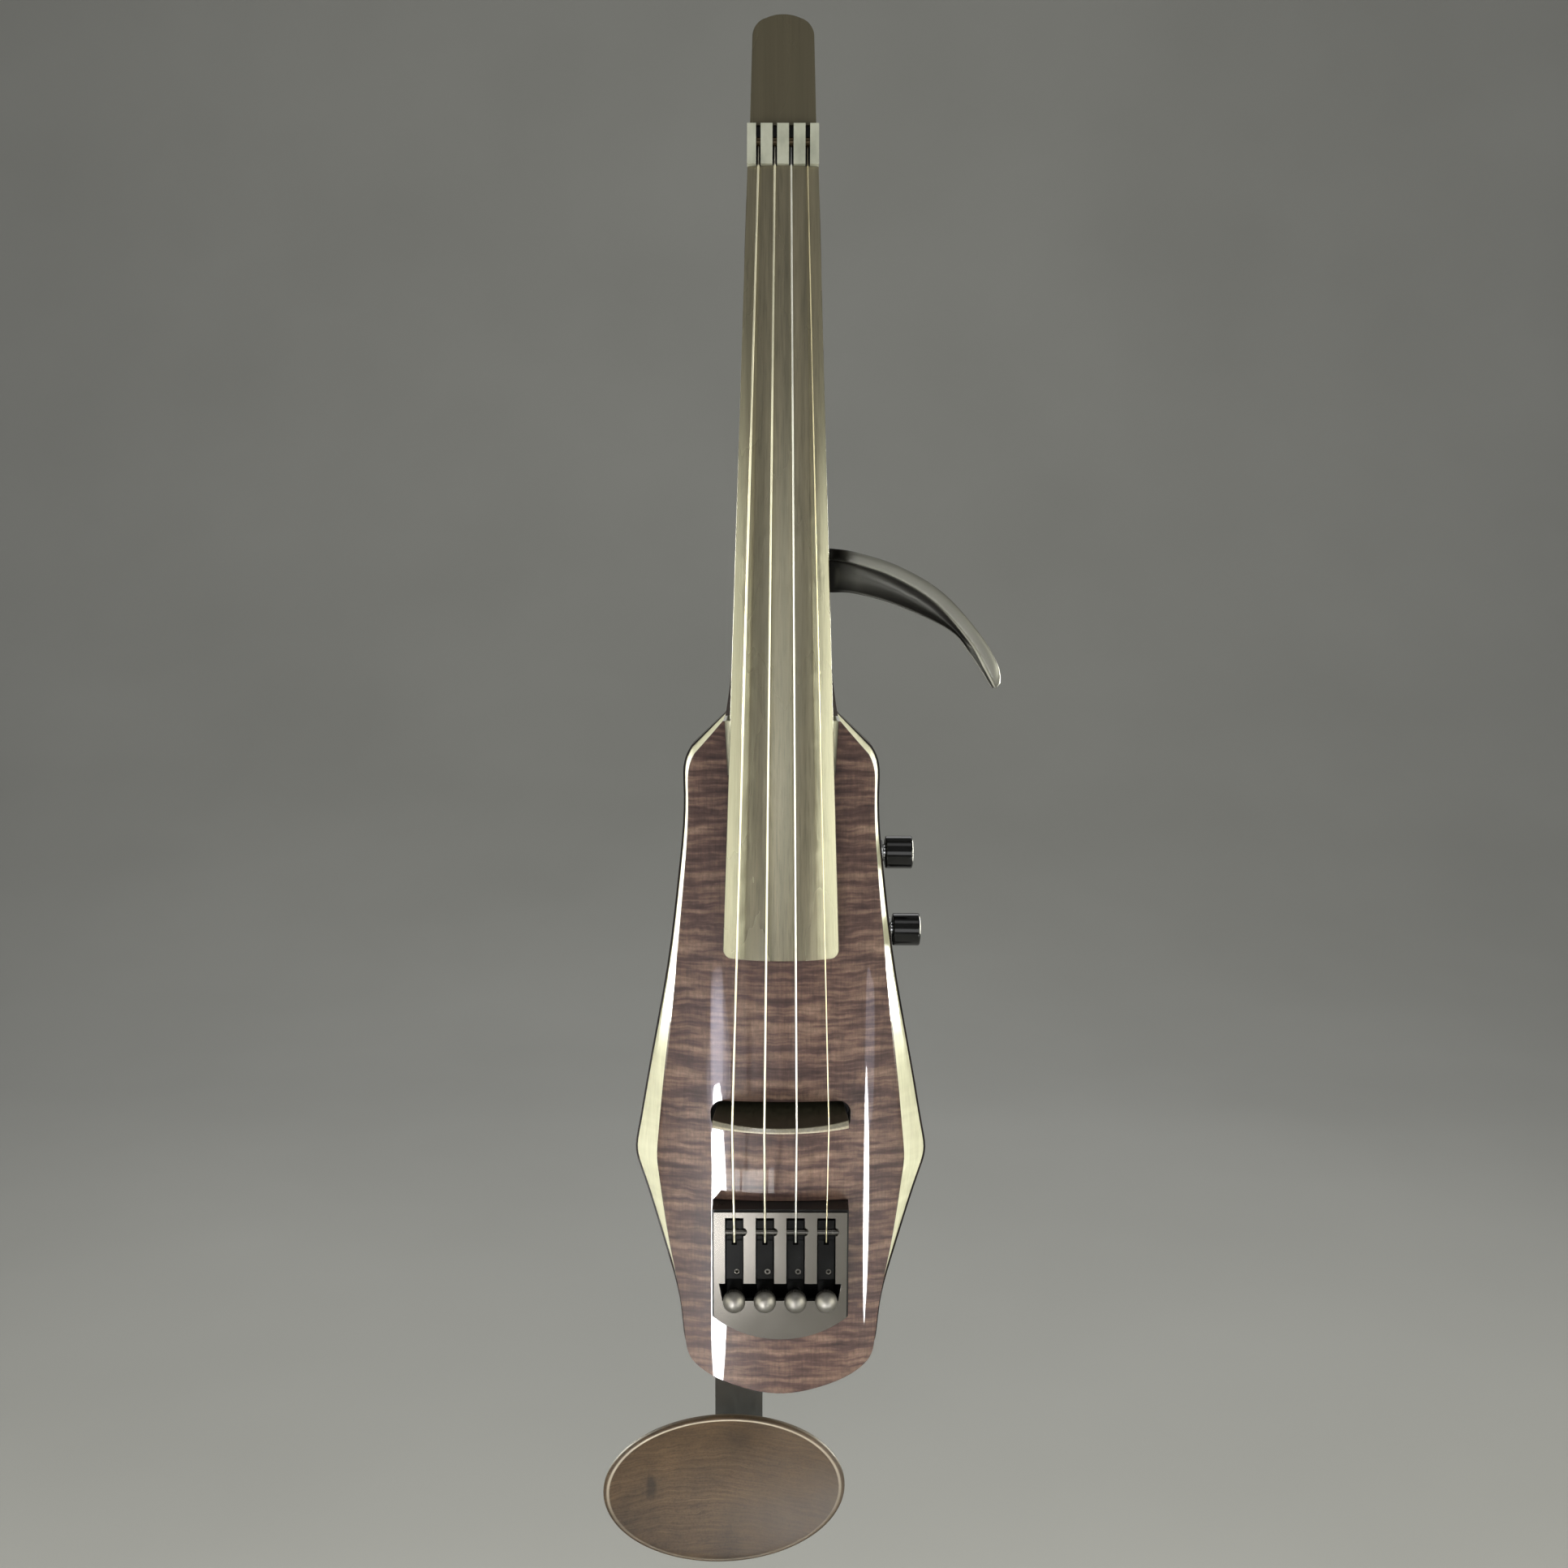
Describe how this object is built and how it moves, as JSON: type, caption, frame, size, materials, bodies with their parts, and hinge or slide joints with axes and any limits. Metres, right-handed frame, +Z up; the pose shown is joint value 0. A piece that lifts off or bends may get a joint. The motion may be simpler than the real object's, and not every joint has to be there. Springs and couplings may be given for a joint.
{
  "type": "electric violin",
  "caption": "Headless solid-body electric violin with arched fretless fingerboard, lever tuners with thumb knobs at the tail, side hand rest and oval wooden chin rest on a steel strap.",
  "frame": {"origin": "point on the back of the neck, on the centre line, 53 mm below the nut edge, where a hanger holds the neck", "axes": "+Z up the neck towards the head, +Y out of the back, +X to the right seen from the front"},
  "size_m": [0.1435, 0.0593, 0.5467],
  "materials": {
    "black_alloy": "black, semi-gloss",
    "black_gloss": "high gloss",
    "black_matte": "satin",
    "brass": "plain",
    "bridge_wood": "satin",
    "chin_wood": "matte oiled walnut",
    "chrome": "polished",
    "dark_lacquer": "gloss lacquer over dark stained maple",
    "ebony": "satin, straight grain",
    "figured_maple": "gloss lacquer over purple-brown stained flamed maple",
    "light_alloy": "bead blasted satin",
    "maple": "gloss lacquer over pale maple",
    "neck_wood": "satin dark stained maple",
    "nickel": "satin nickel",
    "pickup_black": "cast resin",
    "screw_steel": "zinc plated",
    "strap_steel": "satin",
    "string_steel": "wound steel",
    "tail_face": "satin pewter",
    "wire_jacket": "satin"
  },
  "bodies": {
    "instrument": {"neck": "neck_wood", "fingerboard": "ebony", "head_cap": "ebony", "nut_block": "light_alloy", "string_ball_ends": "brass", "body_core": "dark_lacquer", "maple_layer": "maple", "figured_top": "figured_maple", "bridge": "bridge_wood", "bridge_pickup": "pickup_black", "tail_frame": "black_alloy", "tail_face_plate": "tail_face", "tail_frame_screws": "screw_steel", "lever_pivot_pin": "chrome", "volume_pot": "light_alloy", "tone_pot": "light_alloy", "pot_nuts": "chrome", "cavity_cover": "black_matte", "cavity_cover_screws": "screw_steel", "signal_wires": "wire_jacket", "output_jack": "chrome", "jack_nut": "chrome", "hand_rest": "black_matte", "hand_rest_screws": "screw_steel", "clamp_insert": "brass", "string_g": "string_steel", "string_d": "string_steel", "string_a": "string_steel", "string_e": "string_steel"},
    "lever_g": {"tuning_lever_g": "black_alloy", "string_clamp_screw_g": "nickel"},
    "tuner_g": {"tuner_knob_g": "nickel"},
    "lever_d": {"tuning_lever_d": "black_alloy", "string_clamp_screw_d": "nickel"},
    "tuner_d": {"tuner_knob_d": "nickel"},
    "lever_a": {"tuning_lever_a": "black_alloy", "string_clamp_screw_a": "nickel"},
    "tuner_a": {"tuner_knob_a": "nickel"},
    "lever_e": {"tuning_lever_e": "black_alloy", "string_clamp_screw_e": "nickel"},
    "tuner_e": {"tuner_knob_e": "nickel"},
    "volume_control": {"volume_knob": "black_gloss", "volume_set_screw": "screw_steel", "volume_shaft": "chrome"},
    "tone_control": {"tone_knob": "black_gloss", "tone_set_screw": "screw_steel", "tone_shaft": "chrome"},
    "chin_rest": {"chin_rest_plate": "chin_wood", "chin_rest_strap": "strap_steel", "chin_rest_screws": "screw_steel"},
    "clamp": {"chin_rest_clamp_knob": "nickel"}
  },
  "joints": [
    {"name": "tuner_turn_g", "type": "hinge", "parent": "instrument", "child": "tuner_g", "pos_m": [-0.0165, -0.0305, -0.3405], "axis": [0, 1, 0], "range_deg": [-1080, 1080]},
    {"name": "lever_tilt_g", "type": "hinge", "parent": "instrument", "child": "lever_g", "pos_m": [-0.0165, -0.025, -0.316], "axis": [1, 0, 0], "range_deg": [-5, 5]},
    {"name": "tuner_turn_d", "type": "hinge", "parent": "instrument", "child": "tuner_d", "pos_m": [-0.0055, -0.0305, -0.3405], "axis": [0, 1, 0], "range_deg": [-1080, 1080]},
    {"name": "lever_tilt_d", "type": "hinge", "parent": "instrument", "child": "lever_d", "pos_m": [-0.0055, -0.025, -0.316], "axis": [1, 0, 0], "range_deg": [-5, 5]},
    {"name": "tuner_turn_a", "type": "hinge", "parent": "instrument", "child": "tuner_a", "pos_m": [0.0055, -0.0305, -0.3405], "axis": [0, 1, 0], "range_deg": [-1080, 1080]},
    {"name": "lever_tilt_a", "type": "hinge", "parent": "instrument", "child": "lever_a", "pos_m": [0.0055, -0.025, -0.316], "axis": [1, 0, 0], "range_deg": [-5, 5]},
    {"name": "tuner_turn_e", "type": "hinge", "parent": "instrument", "child": "tuner_e", "pos_m": [0.0165, -0.0305, -0.3405], "axis": [0, 1, 0], "range_deg": [-1080, 1080]},
    {"name": "lever_tilt_e", "type": "hinge", "parent": "instrument", "child": "lever_e", "pos_m": [0.0165, -0.025, -0.316], "axis": [1, 0, 0], "range_deg": [-5, 5]},
    {"name": "volume_turn", "type": "hinge", "parent": "instrument", "child": "volume_control", "pos_m": [0.04, 0.004, -0.1827], "axis": [1, 0, 0], "range_deg": [-150, 150]},
    {"name": "tone_turn", "type": "hinge", "parent": "instrument", "child": "tone_control", "pos_m": [0.04, 0.004, -0.2115], "axis": [1, 0, 0], "range_deg": [-150, 150]},
    {"name": "chin_rest_slide", "type": "slide", "parent": "instrument", "child": "chin_rest", "axis": [0, 0, 1], "range_m": [-0.01, 0.006]},
    {"name": "clamp_turn", "type": "hinge", "parent": "instrument", "child": "clamp", "pos_m": [-0.016, 0.0176, -0.363], "axis": [0, 1, 0], "range_deg": [-360, 0]}
  ],
  "couplings": [
    {"joint": "lever_tilt_g", "follows": "tuner_turn_g", "ratio": 0.004629},
    {"joint": "lever_tilt_d", "follows": "tuner_turn_d", "ratio": 0.004629},
    {"joint": "lever_tilt_a", "follows": "tuner_turn_a", "ratio": 0.004629},
    {"joint": "lever_tilt_e", "follows": "tuner_turn_e", "ratio": 0.004629}
  ]
}
